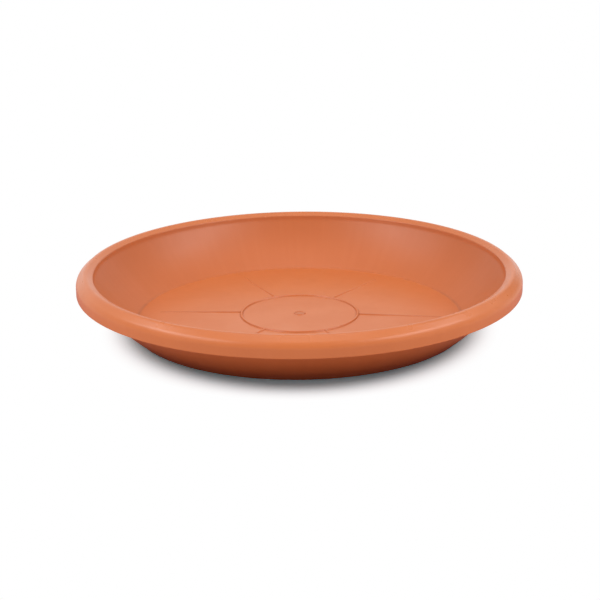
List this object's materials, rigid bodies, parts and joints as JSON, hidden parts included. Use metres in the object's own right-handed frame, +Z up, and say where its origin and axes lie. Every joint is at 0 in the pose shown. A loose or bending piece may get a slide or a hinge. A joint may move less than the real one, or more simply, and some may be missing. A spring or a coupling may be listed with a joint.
{
  "type": "plant saucer",
  "caption": "Round shallow plastic plant saucer with a flared wall, a rolled turned-down rim and raised floor ribs, stands under a plant pot to catch water",
  "frame": {"origin": "centre of the underside, on the surface that the saucer stands on", "axes": "+Z up along the saucer's axis, +X to the right and +Y away from the viewer of the picture"},
  "size_m": [0.15, 0.15, 0.02],
  "materials": {
    "moulded_polypropylene": "satin moulded"
  },
  "bodies": {
    "root": {"floor_plate": "moulded_polypropylene", "side_wall": "moulded_polypropylene", "rim_roll": "moulded_polypropylene", "rim_skirt": "moulded_polypropylene", "foot_ring": "moulded_polypropylene", "ring_rib": "moulded_polypropylene", "radial_rib_1": "moulded_polypropylene", "radial_rib_2": "moulded_polypropylene", "radial_rib_3": "moulded_polypropylene", "radial_rib_4": "moulded_polypropylene", "radial_rib_5": "moulded_polypropylene", "radial_rib_6": "moulded_polypropylene", "gate_mark": "moulded_polypropylene"}
  },
  "joints": []
}
